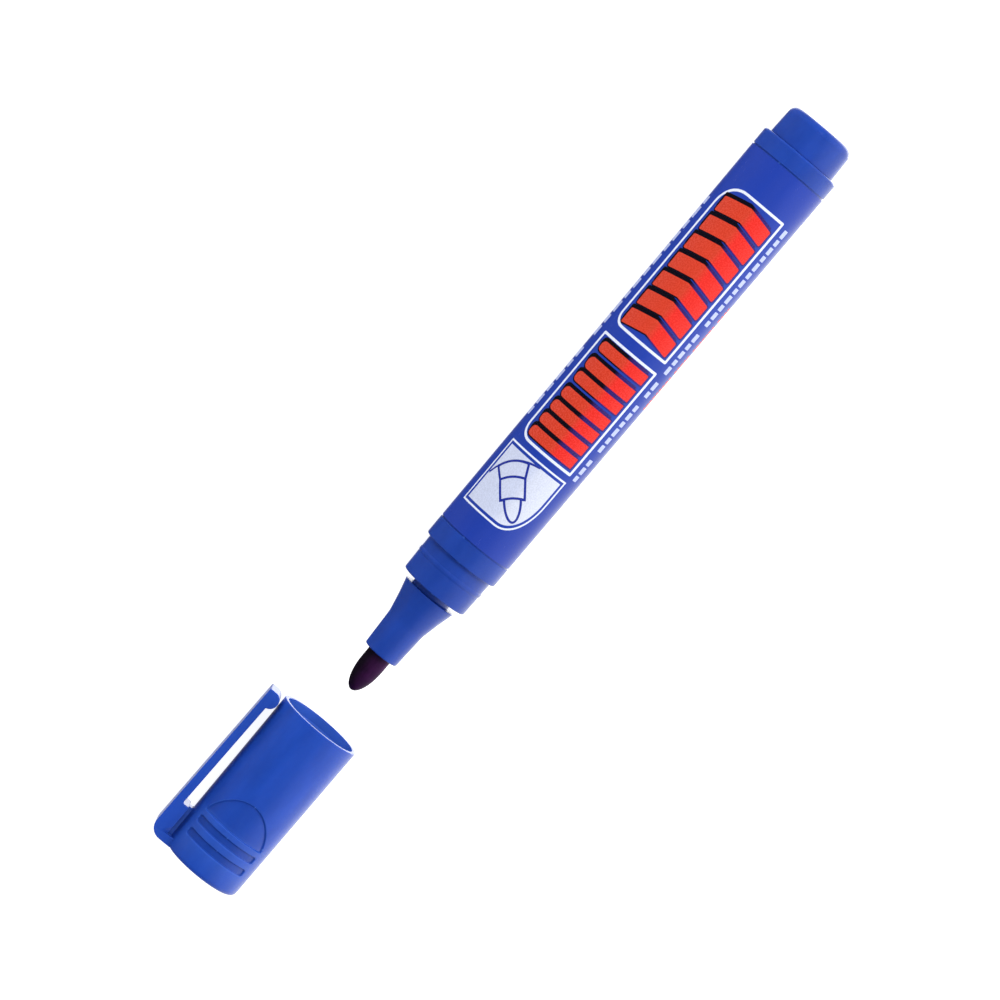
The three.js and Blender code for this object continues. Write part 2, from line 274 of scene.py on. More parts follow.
def dressed(obj, body, material, stands_for=(), sharp=35):
    """Smooth shading, material and body of a piece."""
    mesh = obj.data
    mesh.shade_smooth()
    mesh.set_sharp_from_angle(angle=math.radians(sharp))
    normals = obj.modifiers.new("normals", "WEIGHTED_NORMAL")
    normals.keep_sharp = True
    mesh.materials.append(material)
    if body:
        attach(obj, body)
    if stands_for:
        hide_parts(*stands_for)
    return obj


# ---------------------------------------------------------------------------------------------
# Materials
# ---------------------------------------------------------------------------------------------


class Shader:
    """A material's node tree with short calls for adding and linking nodes."""

    def __init__(self, name):
        self.material = bpy.data.materials.new(name)
        self.material.use_nodes = True
        self.tree = self.material.node_tree
        self.bsdf = self.tree.nodes["Principled BSDF"]
        self.place = self.node("ShaderNodeTexCoord").outputs["Object"]

    def node(self, kind, **settings):
        made = self.tree.nodes.new(kind)
        for key, value in settings.items():
            setattr(made, key, value)
        return made

    def link(self, source, target):
        self.tree.links.new(source, target)

    def stretched(self, scale):
        mapping = self.node("ShaderNodeMapping")
        mapping.inputs["Scale"].default_value = scale
        self.link(self.place, mapping.inputs["Vector"])
        return mapping.outputs["Vector"]

    def noise(self, scale, detail=3.0, roughness=0.5, stretch=None):
        made = self.node("ShaderNodeTexNoise")
        made.inputs["Scale"].default_value = scale
        made.inputs["Detail"].default_value = detail
        made.inputs["Roughness"].default_value = roughness
        self.link(self.stretched(stretch) if stretch else self.place, made.inputs["Vector"])
        return made.outputs["Fac"]

    def ranged(self, source, low, high, from_low=0.0, from_high=1.0):
        made = self.node("ShaderNodeMapRange")
        made.inputs["From Min"].default_value = from_low
        made.inputs["From Max"].default_value = from_high
        made.inputs["To Min"].default_value = low
        made.inputs["To Max"].default_value = high
        self.link(source, made.inputs["Value"])
        return made.outputs["Result"]

    def maths(self, operation, first, second):
        made = self.node("ShaderNodeMath", operation=operation)
        for socket, value in zip(made.inputs, (first, second)):
            if isinstance(value, (int, float)):
                socket.default_value = value
            else:
                self.link(value, socket)
        return made.outputs[0]

    def mixed(self, factor, first, second):
        made = self.node("ShaderNodeMix", data_type="RGBA")
        sockets = (made.inputs[0], made.inputs[6], made.inputs[7])
        for socket, value in zip(sockets, (factor, first, second)):
            if isinstance(value, (tuple, float, int)):
                socket.default_value = (*value, 1) if isinstance(value, tuple) else value
            else:
                self.link(value, socket)
        return made.outputs[2]

    def bump(self, height, distance_m, strength=1.0, under=None):
        made = self.node("ShaderNodeBump")
        made.inputs["Strength"].default_value = strength
        made.inputs["Distance"].default_value = distance_m
        self.link(height, made.inputs["Height"])
        if under:
            self.link(under, made.inputs["Normal"])
        return made.outputs["Normal"]

    def painted(self, name):
        """A value from 0 to 1 that the mesh carries at each point."""
        return self.node("ShaderNodeAttribute", attribute_name=name).outputs["Fac"]

    def painted_light_mask(self, soft_mm=1.4):
        """Mask for painted light: 0 on the clip's side of the printed flank, coloured as if in shade,
        and 1 on the far side of it, coloured as if lit.
        """
        along = self.node("ShaderNodeVectorMath", operation="DOT_PRODUCT")
        self.link(self.place, along.inputs[0])
        across = Vector((0, math.cos(ART_ANGLE), math.sin(ART_ANGLE)))
        along.inputs[1].default_value = across
        centre = across.dot(Vector((0, AXIS_Y_M, AXIS_Z_M))) + PAINTED_LIGHT_OFFSET * MM
        soft = soft_mm * MM / 2
        return self.ranged(along.outputs["Value"], 0.0, 1.0, centre - soft, centre + soft)

    def convex_edges(self):
        """0 on flat and sunk places and 1 on edges that stand out."""
        pointiness = self.node("ShaderNodeNewGeometry").outputs["Pointiness"]
        return self.ranged(pointiness, 0.0, 1.0, *EDGE_POINTINESS)

    def set(self, **values):
        """Constant values of the Principled sockets, with _ for the spaces in their names."""
        for name, value in values.items():
            self.bsdf.inputs[name.replace("_", " ")].default_value = value


def dimmed(colour, share):
    return tuple(c * share for c in colour)


PAINTED_SHADE_ATTRIBUTE, PAINTED_LIGHT_ATTRIBUTE = "sunk", "painted_light"    # what the cap's mesh carries at each point: painted shade in the grip's recesses and painted light on its ribs and in the bore, see paint_grip
# painted shade on the grip's sunk floors: the dark colour as a share of the plastic's, and how much of
# it is mixed in
SUNK_PAINTED_SHADE, SUNK_PAINTED_SHADE_SHARE = 0.3, 0.3
# painted light: how much of the pale colour goes on the grip's ribs and in the cap's bore
PAINTED_LIGHT_SHARE = 0.24
EDGE_POINTINESS = (0.52, 0.58)
PLASTIC_ROUGHNESS = 0.18
PLASTIC_IOR = 1.38
PRINT_IOR = 1.36


def moulded_plastic(name, colour, pale):
    """Glossy moulded plastic: flow in the colour, orange peel, drag lines, edges paler from wear and
    from a painted highlight, painted shade in the grip's recesses, and painted light on its ribs and
    in the bore.
    """
    s = Shader(name)
    flow = s.noise(260, detail=4, stretch=(0.35, 1, 1))
    streaks = s.noise(900, detail=2, stretch=(0.06, 1, 1))
    peel = s.noise(2600, detail=2)
    scuffs = s.noise(1500, detail=5, roughness=0.7, stretch=(0.3, 1, 1))
    body = s.mixed(s.ranged(flow, 0.0, 1.0, 0.3, 0.7), dimmed(colour, 0.82), colour)
    # convex edges are paler: partly wear, partly a painted highlight
    edge_wear_and_highlight = s.maths("MULTIPLY", s.convex_edges(), s.ranged(scuffs, 0.25, 0.42, 0.3, 0.7))
    # painted shade: the grip's sunk floors get a darker colour
    painted_shade = s.maths("MULTIPLY", s.painted(PAINTED_SHADE_ATTRIBUTE), SUNK_PAINTED_SHADE_SHARE)
    with_painted_shade = s.mixed(painted_shade, body, dimmed(colour, SUNK_PAINTED_SHADE))
    # painted highlight on the grip's ribs and painted light in the cap's bore
    painted_light = s.mixed(s.maths("MULTIPLY", s.painted(PAINTED_LIGHT_ATTRIBUTE), PAINTED_LIGHT_SHARE), with_painted_shade, pale)
    s.link(s.mixed(edge_wear_and_highlight, painted_light, pale), s.bsdf.inputs["Base Color"])
    scuffed = s.ranged(scuffs, PLASTIC_ROUGHNESS - 0.04, PLASTIC_ROUGHNESS + 0.08)
    rough = s.maths("ADD", scuffed, s.ranged(streaks, -0.02, 0.04))
    s.link(s.maths("ADD", rough, s.maths("MULTIPLY", edge_wear_and_highlight, 0.12)), s.bsdf.inputs["Roughness"])
    fine = s.bump(peel, 4e-6, 0.35)
    s.link(s.bump(streaks, 3e-6, 0.25, under=fine), s.bsdf.inputs["Normal"])
    s.set(IOR=PLASTIC_IOR, Subsurface_Weight=0.15, Subsurface_Scale=0.0012)
    s.set(Subsurface_Radius=(0.2, 0.4, 1.0))
    return s.material


def printed_film(name, colour):
    """Gloss label film: print mottle in the colour and a very slight ripple along the barrel."""
    s = Shader(name)
    mottle = s.noise(5200, detail=2)
    drift = s.noise(90, detail=3, stretch=(0.4, 1, 1))
    ripple = s.noise(240, detail=2, stretch=(0.25, 1, 1))
    scuffs = s.noise(1200, detail=5, roughness=0.7, stretch=(0.25, 1, 1))
    lively = tuple(min(1, c * 1.06) for c in colour)
    body = s.mixed(s.ranged(drift, 0.0, 1.0, 0.3, 0.7), dimmed(colour, 0.86), colour)
    s.link(s.mixed(s.ranged(mottle, 0.0, 0.35, 0.4, 0.7), body, lively), s.bsdf.inputs["Base Color"])
    s.link(s.ranged(scuffs, 0.17, 0.30, 0.3, 0.75), s.bsdf.inputs["Roughness"])
    s.link(s.bump(ripple, 1.2e-5, 0.25), s.bsdf.inputs["Normal"])
    s.set(IOR=PRINT_IOR)
    return s.material


def printing_ink(name, colour, painted_lit_colour=None):
    """Ink printed on the film, a little mottled. It can have a second colour on the far side, painted
    light that colours that side as if lit.
    """
    s = Shader(name)
    mottle = s.noise(4200, detail=3)
    # painted light: the ink's colour changes across the barrel as if lit on the far side
    ink_with_painted_light = s.mixed(s.painted_light_mask(), colour, painted_lit_colour or colour)
    deep = s.mixed(s.ranged(mottle, 0.12, 0.0, 0.35, 0.65), ink_with_painted_light, (0.0, 0.0, 0.0))
    s.link(deep, s.bsdf.inputs["Base Color"])
    s.link(s.ranged(mottle, 0.2, 0.34), s.bsdf.inputs["Roughness"])
    s.set(IOR=PRINT_IOR)
    return s.material


def inked_felt(name, colour, painted_lit_felt_colour):
    """Dense felt soaked with ink: fibres along the nib, and a blotchy magenta on the far side that is
    painted light.
    """
    s = Shader(name)
    fibres = s.noise(2600, detail=4, roughness=0.65, stretch=(0.12, 1, 1))
    pores = s.noise(5200, detail=3, roughness=0.6)
    blotch = s.noise(420, detail=3)
    body = s.mixed(s.ranged(fibres, 0.0, 1.0, 0.35, 0.65), dimmed(colour, 0.55), colour)
    # painted light: magenta on the far, lit side, broken up by blotches
    painted_lit_side = s.maths("MULTIPLY", s.painted_light_mask(4.5), s.ranged(blotch, 0.45, 1.0, 0.35, 0.65))
    s.link(s.mixed(painted_lit_side, body, painted_lit_felt_colour), s.bsdf.inputs["Base Color"])
    s.link(s.ranged(fibres, 0.38, 0.62, 0.3, 0.7), s.bsdf.inputs["Roughness"])
    rough = s.bump(fibres, 3.5e-5, 0.6)
    s.link(s.bump(pores, 2e-5, 0.5, under=rough), s.bsdf.inputs["Normal"])
    s.set(Specular_IOR_Level=0.08, Sheen_Weight=0.015, Sheen_Roughness=0.4)
    s.set(Sheen_Tint=(0.75, 0.2, 0.8, 1))
    return s.material


def soft_fibre(name, colour):
    """Ink reservoir's fibre bundle, hidden in the barrel."""
    s = Shader(name)
    strands = s.noise(1800, detail=4, roughness=0.6, stretch=(0.05, 1, 1))
    s.link(s.mixed(strands, dimmed(colour, 0.5), colour), s.bsdf.inputs["Base Color"])
    s.link(s.ranged(strands, 0.75, 0.95), s.bsdf.inputs["Roughness"])
    s.link(s.bump(strands, 6e-5, 0.7), s.bsdf.inputs["Normal"])
    return s.material


def natural_plastic(name, colour, roughness):
    """Uncoloured soft plastic with a faint matt grain."""
    s = Shader(name)
    grain = s.noise(3200, detail=3)
    cloud = s.noise(300, detail=3)
    body = s.mixed(s.ranged(cloud, 0.0, 1.0, 0.3, 0.7), dimmed(colour, 0.92), colour)
    s.link(body, s.bsdf.inputs["Base Color"])
    s.link(s.ranged(grain, roughness - 0.06, roughness + 0.08), s.bsdf.inputs["Roughness"])
    s.link(s.bump(grain, 4e-6, 0.4), s.bsdf.inputs["Normal"])
    return s.material


def studio_floor(name, colour):
    """Matt floor that glows a little, so that it comes out plain white."""
    s = Shader(name)
    grain = s.noise(900, detail=3)
    s.link(s.mixed(grain, dimmed(colour, 0.985), colour), s.bsdf.inputs["Base Color"])
    s.link(s.ranged(grain, 0.55, 0.65), s.bsdf.inputs["Roughness"])
    s.set(Emission_Color=(1, 1, 1, 1), Emission_Strength=0.88)
    return s.material


# pale blue for wear on edges, for painted highlights and for painted light
PALE_BLUE = (0.10, 0.25, 0.80)
CAP_BLUE = moulded_plastic("cap_blue_plastic", (0.016, 0.072, 0.46), PALE_BLUE)
PEN_BLUE = moulded_plastic("pen_blue_plastic", (0.0145, 0.056, 0.355), PALE_BLUE)
FILM = printed_film("label_film_blue", (0.016, 0.048, 0.37))
WHITE_INK = printing_ink("white_ink", (0.74, 0.79, 0.93))
# The second colours of these inks are painted light: the far side of the printing is coloured as if
# lit, the clip's side as if in shade.
PANEL_INK = printing_ink("panel_ink", (0.58, 0.63, 0.81), (0.65, 0.69, 0.83))
SMALL_INK = printing_ink("small_print_ink", (0.48, 0.54, 0.85))
RED_INK = printing_ink("red_ink", (0.64, 0.050, 0.023), (0.80, 0.025, 0.017))
BLACK_INK = printing_ink("black_ink", (0.004, 0.003, 0.008), (0.032, 0.014, 0.15))
LINE_INK = printing_ink("line_ink", (0.02, 0.035, 0.30))
# the felt's second colour is painted light on its lit side
FELT = inked_felt("inked_felt", (0.007, 0.003, 0.011), (0.055, 0.006, 0.07))
FIBRE = soft_fibre("reservoir_fibre", (0.05, 0.02, 0.07))
WRAP = natural_plastic("wrap_film", (0.80, 0.82, 0.86), 0.28)

# ---------------------------------------------------------------------------------------------
# Pen pieces
# ---------------------------------------------------------------------------------------------


def barrel_radius(station):
    share = (station - BARREL_REAR) / (BARREL_FRONT - BARREL_REAR)
    return BARREL_REAR_RADIUS + (BARREL_FRONT_RADIUS - BARREL_REAR_RADIUS) * share


def make_rear_plug():
    end_ring, end_radius, end_round = 5.2, 6.98, 1.6
    shoulder, shoulder_radius = 6.45, 7.17
    spigot_radius, hollow_radius, end_wall = 6.88, 5.8, 1.6
    outline = filleted([
        (0, 0),
        (end_ring, 0),
        (end_radius, 0, end_round),
        (shoulder_radius, shoulder, 0.05),
        (spigot_radius, shoulder),
        (spigot_radius, PLUG_SPIGOT_END, 0.2),
        (hollow_radius, PLUG_SPIGOT_END),
        (hollow_radius, end_wall, 0.3),
        (0, end_wall),
    ], steps=8)
    obj = revolved("rear_plug_stopper", outline, TAIL_X_M)
    return dressed(obj, "pen", PEN_BLUE, ["rear_plug"])


def make_barrel():
    recess_rear = LABEL_REAR - LABEL_EDGE_GAP
    recess_front = LABEL_FRONT + LABEL_EDGE_GAP
    bead, bead_half, bead_height = 106.3, 0.55, 0.12
    collar_rear, collar_front = 7.14, 7.0
    bead_base = 7.09
    bore_rear, bore_front = 6.95, 6.8
    step_rear, step_front = 101.6, 102.5
    outline = filleted([
        (bore_rear, BARREL_REAR, 0.15),
        (barrel_radius(BARREL_REAR), BARREL_REAR, 0.5),
        (barrel_radius(recess_rear), recess_rear, 0.04),
        (barrel_radius(recess_rear) - LINE_DEPTH, recess_rear),
        (barrel_radius(recess_rear) - LINE_DEPTH, LABEL_REAR),
        (barrel_radius(LABEL_REAR) - LABEL_RECESS, LABEL_REAR + 0.1),
        (barrel_radius(LABEL_FRONT) - LABEL_RECESS, LABEL_FRONT - 0.1),
        (barrel_radius(recess_front) - LINE_DEPTH, LABEL_FRONT),
        (barrel_radius(recess_front) - LINE_DEPTH, recess_front),
        (barrel_radius(recess_front), recess_front, 0.04),
        (barrel_radius(BARREL_FRONT), BARREL_FRONT, 0.3),
        (collar_rear, BARREL_FRONT, 0.12),
        (bead_base, bead - bead_half, 0.15),
        (bead_base + bead_height, bead - bead_half / 3, 0.2),
        (bead_base + bead_height, bead + bead_half / 3, 0.2),
        (bead_base, bead + bead_half, 0.15),
        (collar_front, COLLAR_FRONT, 0.3),
        (SPOUT_SEAT, COLLAR_FRONT, 0.1),
        (SPOUT_SEAT, step_front),
        (bore_front, step_rear),
    ], closed=True, steps=6)
    obj = revolved("barrel_tube", outline, TAIL_X_M, closed=True)
    return dressed(obj, "pen", PEN_BLUE, ["barrel"])


def label_radius(station):
    return barrel_radius(station) - LABEL_SINK


SEAM_ANGLE = math.radians(-140)
SEAM_OVERLAP = math.radians(16)
SEAM_STEP = 0.045
SEAM_EDGE = 0.002        # radians over which the film's end steps down


def label_overlap(radius, station, angle):
    """The film's end lies over its start along the back of the barrel."""
    past = (angle - SEAM_ANGLE) % (2 * math.pi)
    return SEAM_STEP * (1 - past / SEAM_OVERLAP) if past < SEAM_OVERLAP else 0


def make_label():
    thickness = 0.11
    edge_drop, edge_back = 0.02, 0.03
    outline = [
        (label_radius(LABEL_REAR) - thickness, LABEL_REAR),
        (label_radius(LABEL_REAR) - edge_drop, LABEL_REAR),
        (label_radius(LABEL_REAR), LABEL_REAR + edge_back),
        (label_radius(LABEL_FRONT), LABEL_FRONT - edge_back),
        (label_radius(LABEL_FRONT) - edge_drop, LABEL_FRONT),
        (label_radius(LABEL_FRONT) - thickness, LABEL_FRONT),
    ]
    uniform = [2 * math.pi * k / ROUND for k in range(ROUND)]
    seam = [(SEAM_ANGLE + offset) % (2 * math.pi) for offset in (-SEAM_EDGE, 0.0)]
    angles = sorted(uniform + seam)
    obj = revolved("label_sleeve", outline, TAIL_X_M, angles=angles, swell=label_overlap, closed=True)
    return dressed(obj, "pen", FILM, ["label_film"])


def make_nib_holder():
    bore, tube_radius, tip_radius = 2.5, 3.8, 3.6
    spigot_radius, spigot_rear = 5.88, 103.1
    groove_radius, flare_radius, flare_rear = 4.15, 5.58, 112.15
    outline = filleted([
        (bore, HOLDER_REAR),
        (tube_radius, HOLDER_REAR, 0.2),
        (tube_radius, spigot_rear),
        (spigot_radius, spigot_rear, 0.2),
        (spigot_radius, COLLAR_FRONT, 0.12),
        (groove_radius, COLLAR_FRONT, 0.3),
        (groove_radius, flare_rear, 0.3),
        (flare_radius, flare_rear, 0.15),
        (4.72, 115.4, 9.0),
        (3.95, 119.0, 7.0),
        (tip_radius, HOLDER_FRONT, 0.35),
        (bore, HOLDER_FRONT, 0.06),
    ], closed=True, steps=7)
    obj = revolved("nib_holder_spout", outline, TAIL_X_M, closed=True)
    return dressed(obj, "pen", PEN_BLUE, ["nib_holder"])


def make_nib():
    radius = radius_of("nib")
    chamfer = 0.4
    bullet = 6.2
    steps = 28
    outline = [(0, NIB_REAR), (radius - chamfer, NIB_REAR), (radius, NIB_REAR + chamfer)]
    for k in range(steps + 1):
        angle = math.pi / 2 * k / steps
        outline.append((radius * math.cos(angle), NIB_TIP - bullet + bullet * math.sin(angle)))
    outline[-1] = (0, NIB_TIP)
    obj = revolved("nib_felt", outline, TAIL_X_M)
    return dressed(obj, "pen", FELT, ["nib"])


# ---------------------------------------------------------------------------------------------
# Cap pieces
# ---------------------------------------------------------------------------------------------
CAP_MOUTH_RADIUS = radius_of("cap_shell")
CAP_END_RADIUS = 8.15
CAP_FLOOR = CAP_LENGTH - 2.05
CAP_SKIN = 0.6           # what lies within this of the cap's end radius, or past it, is the outside
GRIP_START = 17.5        # the grip lies between these two depths
GRIP_END = 31.3
GRIP_ROWS = 138
GRIP_HALF_HEIGHT = 6.5
GRIP_SINK = 0.35
GRIP_EDGE = 0.11
GRIP_BARS = (29.9, 26.9)
GRIP_BAR_HALF = 0.75
GRIP_BAR_ROUND = 0.4
MOON_BASE = 24.92
MOON_HEIGHT = 6.5
MOON_ROUNDNESS = 0.66
# share of the painted shade that the half moon's floor gets
MOON_PAINTED_SHADE = 0.45
# painted light in the cap's bore and painted highlight on the grip's ribs
BORE_PAINTED_LIGHT = 1.0
RIB_PAINTED_HIGHLIGHT = 0.4


def cap_radius(depth):
    return CAP_MOUTH_RADIUS + (CAP_END_RADIUS - CAP_MOUTH_RADIUS) * depth / CAP_LENGTH


def inside_bar(depth, height, centre):
    """How far a point is inside a bar of the finger grip; negative outside."""
    dx = abs(depth - centre) - GRIP_BAR_HALF + GRIP_BAR_ROUND
    dy = abs(height) - GRIP_HALF_HEIGHT + GRIP_BAR_ROUND
    outside = math.hypot(max(dx, 0), max(dy, 0)) + min(max(dx, dy), 0)
    return GRIP_BAR_ROUND - outside


def inside_moon(depth, height):
    """How far a point is inside the half moon; negative outside."""
    share = height / GRIP_HALF_HEIGHT
    rest = max(1e-3, 1 - share * share)
    apex_side = depth - (MOON_BASE - MOON_HEIGHT * rest ** MOON_ROUNDNESS)
    slope = 2 * MOON_ROUNDNESS * MOON_HEIGHT * share * rest ** (MOON_ROUNDNESS - 1) / GRIP_HALF_HEIGHT
    return min(MOON_BASE - depth, GRIP_HALF_HEIGHT - abs(height), apex_side / math.hypot(1, slope))


def smooth_step(inside, edge):
    share = min(1, max(0, (inside + edge) / (2 * edge)))
    return share * share * (3 - 2 * share)


def grip_shares(depth, height):
    """How far the bars and the half moon are sunk at a point, each from 0 to 1."""
    bars = max(inside_bar(depth, height, c) for c in GRIP_BARS)
    return smooth_step(bars, GRIP_EDGE), smooth_step(inside_moon(depth, height), GRIP_EDGE)


def grip_sink(radius, depth, angle):
    """Recess of the finger grip in the cap's outer skin, negative where it is sunk."""
    if radius < CAP_END_RADIUS - 0.1 or not GRIP_START < depth < GRIP_END:
        return 0
    return -GRIP_SINK * max(grip_shares(depth, radius * math.cos(angle - CLIP_ANGLE)))


def paint_grip(obj):
    """Marks painted shade on the grip's sunk floors, a painted highlight on the ribs between them and
    painted light in the bore, for the colour.
    """
    mesh = obj.data
    clip_way = Vector((-math.sin(CLIP_ANGLE), math.cos(CLIP_ANGLE)))
    before_ribs, past_ribs, beside_ribs, rib_softness = 0.4, 2.2, 0.8, 0.7
    sunk, painted_light = [], []
    for v in mesh.vertices:
        depth = depth_of(v.co.x)
        offset = Vector((v.co.y - AXIS_Y_M, v.co.z - AXIS_Z_M)) / MM
        height = offset.dot(clip_way)
        outside = offset.length > CAP_END_RADIUS - CAP_SKIN
        bars, moon = grip_shares(depth, height) if outside else (0, 0)
        ribs = min(
            depth - MOON_BASE + before_ribs,
            GRIP_BARS[0] + past_ribs - depth,
            GRIP_HALF_HEIGHT + beside_ribs - abs(height),
        )
        # painted shade on the sunk floors
        sunk.append(max(bars, MOON_PAINTED_SHADE * moon))
        # painted highlight on the ribs, and painted light all over the bore
        rib = RIB_PAINTED_HIGHLIGHT * smooth_step(ribs, rib_softness) * (1 - bars)
        painted_light.append(rib if outside else BORE_PAINTED_LIGHT)
    for name, values in ((PAINTED_SHADE_ATTRIBUTE, sunk), (PAINTED_LIGHT_ATTRIBUTE, painted_light)):
        mesh.attributes.new(name, "FLOAT", "POINT").data.foreach_set("value", values)


def cap_angles():
    """Columns round the cap, close together on the two flanks that carry the grip."""
    fine, coarse = math.radians(0.75), math.radians(2.5)
    reach = math.radians(57)
    found = []
    for flank in (CLIP_ANGLE - math.pi / 2, CLIP_ANGLE + math.pi / 2):
        steps = round(2 * reach / fine)
        found += [flank - reach + 2 * reach * k / steps for k in range(steps)]
        gap = math.pi - 2 * reach
        steps = round(gap / coarse)
        found += [flank + reach + gap * k / steps for k in range(steps)]
    return found


def make_cap_cup():
    inner_bore, inner_bore_start = 6.65, 15.95
    snap_radius = 7.33
    end_ring = 6.9
    bore = filleted([
        (0, CAP_FLOOR),
        (inner_bore, CAP_FLOOR, 0.4),
        (inner_bore, inner_bore_start),
        (7.35, inner_bore_start),
        (7.52, 2.8, 0.3),
        (snap_radius, 2.45, 0.2),
        (snap_radius, 2.15, 0.2),
        (7.53, 1.8, 0.3),
        (7.55, 0, 0.12),
        (CAP_MOUTH_RADIUS, 0, 0.2),
        (cap_radius(GRIP_START), GRIP_START),
    ], steps=6)
    reach = GRIP_END - GRIP_START
    depths = [GRIP_START + reach * k / GRIP_ROWS for k in range(1, GRIP_ROWS + 1)]
    skin = [(cap_radius(depth), depth) for depth in depths]
    end = filleted([
        skin[-1],
        (cap_radius(CAP_LENGTH), CAP_LENGTH, 1.0),
        (end_ring, CAP_LENGTH),
        (0, CAP_LENGTH),
    ], steps=8)
    obj = revolved("cap_cup", bore + skin + end[1:], MOUTH_X_M, angles=cap_angles(), swell=grip_sink)
    paint_grip(obj)
    return dressed(obj, "cap", CAP_BLUE, ["cap_shell"], sharp=50)


CLIP_WIDTH = 7.0
CLIP_THICKNESS = 1.65
CLIP_TIP_OUTER = 11.57
CLIP_SLOPE = 0.0158
CLIP_END = 35.15
CLIP_BLOCK_START = CLIP_END - 1.7
CLIP_RIM = 0.16
CLIP_CORNER = 2.5
CLIP_ROOT = 7.0          # height of the end block's underside
WEB_START = 27.1
WEB_UNDER = 8.9
FOOT_WIDTH = 2.4
FOOT_ROOT = 7.3


def clip_outer(depth):
    return CLIP_TIP_OUTER + CLIP_SLOPE * (depth - CLIP_TIP)


def clip_inner(depth):
    return clip_outer(depth) - CLIP_THICKNESS


def pocket_cutter(side):
    """Wedge that hollows the strap's flank beside the end block, deepest next to the block."""
    block = CLIP_BLOCK_START + 0.05
    low, high, length = 8.0, 10.9, 3.4
    proud, deep = side * (CLIP_WIDTH / 2 + 0.2), side * (CLIP_WIDTH / 2 - 1.2)
    bm = bmesh.new()
    top = bm.verts.new(cap_point(block, high, proud))
    corner = bm.verts.new(cap_point(block, low, proud))
    bottom = bm.verts.new(cap_point(block, low, deep))
    front = bm.verts.new(cap_point(block - length, low, proud))
    bm.faces.new((top, corner, bottom))
    bm.faces.new((top, corner, front))
    bm.faces.new((corner, bottom, front))
    bm.faces.new((top, bottom, front))
    return object_from("pocket_cutter", bm)


def carved(obj, cutters):
    """Cuts the cutters out of a piece and removes them."""
    for cutter in cutters:
        cut = obj.modifiers.new("cut", "BOOLEAN")
        cut.operation = "DIFFERENCE"
        cut.solver = "EXACT"
        cut.object = cutter
    bpy.context.view_layer.update()
    evaluated = obj.evaluated_get(bpy.context.evaluated_depsgraph_get())
    mesh = bpy.data.meshes.new_from_object(evaluated)
    obj.modifiers.clear()
    obj.data = mesh
    for cutter in cutters:
        bpy.data.objects.remove(cutter)
    return obj


def make_clip_strap():
    """Strap, nub and end block in one."""
    nub_radius, nub_centre, nub_under = 1.77, 1.93, 8.58
    nub_height = nub_under + nub_radius
    longest_side = 0.8
    lean = math.degrees(math.acos((nub_height - clip_inner(nub_centre)) / nub_radius))
    corners = [
        (CLIP_TIP, clip_outer(CLIP_TIP), 0.3),
        (CLIP_END, clip_outer(CLIP_END), CLIP_CORNER),
        (CLIP_END, CLIP_ROOT),
        (CLIP_BLOCK_START, CLIP_ROOT),
        (CLIP_BLOCK_START, WEB_UNDER, 0.2),
        (WEB_START, WEB_UNDER, 0.35),
        (WEB_START, clip_inner(WEB_START), 0.3),
    ]
    nub = arc((nub_centre, nub_height), nub_radius, -90 + lean, -90 - lean, 16)
    corners += [tuple(p) for p in nub]
    outline = subdivided(filleted(corners, closed=True, steps=8), longest_side)
    obj = plate("clip_strap", outline, CLIP_WIDTH, CLIP_RIM)
    carved(obj, [pocket_cutter(1), pocket_cutter(-1)])
    dressed(obj, None, CAP_BLUE, ["cap_clip"])
    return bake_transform(obj)


def make_clip_foot():
    """Narrow foot that carries the strap's root on the cap."""
    top = WEB_UNDER + 0.4
    rear = CLIP_BLOCK_START + 0.5
    front, toe = WEB_START + 0.1, WEB_START - 0.3
    outline = filleted([
        (rear, FOOT_ROOT),
        (rear, top),
        (front, top),
        (front, cap_radius(WEB_START), 0.3),
        (toe, 8.1),
        (toe, FOOT_ROOT),
    ], closed=True)
    obj = plate("clip_foot", outline, FOOT_WIDTH, 0.1, steps=2)
    return dressed(obj, "cap", CAP_BLUE)


def make_inner_cap():
    floor, floor_radius, lip_radius = 32.35, 4.2, 4.3
    flange_radius, flange_rear, cup_radius = 7.1, INNER_CAP_MOUTH + 0.9, 5.5
    outline = filleted([
        (0, floor),
        (floor_radius, floor, 0.3),
        (lip_radius, INNER_CAP_MOUTH, 0.3),
        (flange_radius, INNER_CAP_MOUTH, 0.15),
        (flange_radius, flange_rear, 0.15),
        (cup_radius, flange_rear, 0.2),
        (cup_radius, INNER_CAP_REAR, 0.3),
        (0, INNER_CAP_REAR),
    ], steps=5)
    obj = revolved("inner_cap_seal", outline, MOUTH_X_M)
    return dressed(obj, "cap", CAP_BLUE, ["inner_cap"])


# ---------------------------------------------------------------------------------------------
# Printing on the label. A place is (along, across): along runs from the label's front end
# towards the tail, across runs round the barrel, away from the clip's side.
# ---------------------------------------------------------------------------------------------
ART_RADIUS = 8.1
PRINT_STEP = 0.4
# Heights over the film. Each layer's top stands clear of the one below it.
PRINT_ROOT = -0.012
GROUND_TOP = 0.012
LINE_TOP, BOW_TOP = 0.019, 0.022
SHADOW_TOP, EDGE_TOP, RED_TOP = 0.02, 0.027, 0.034


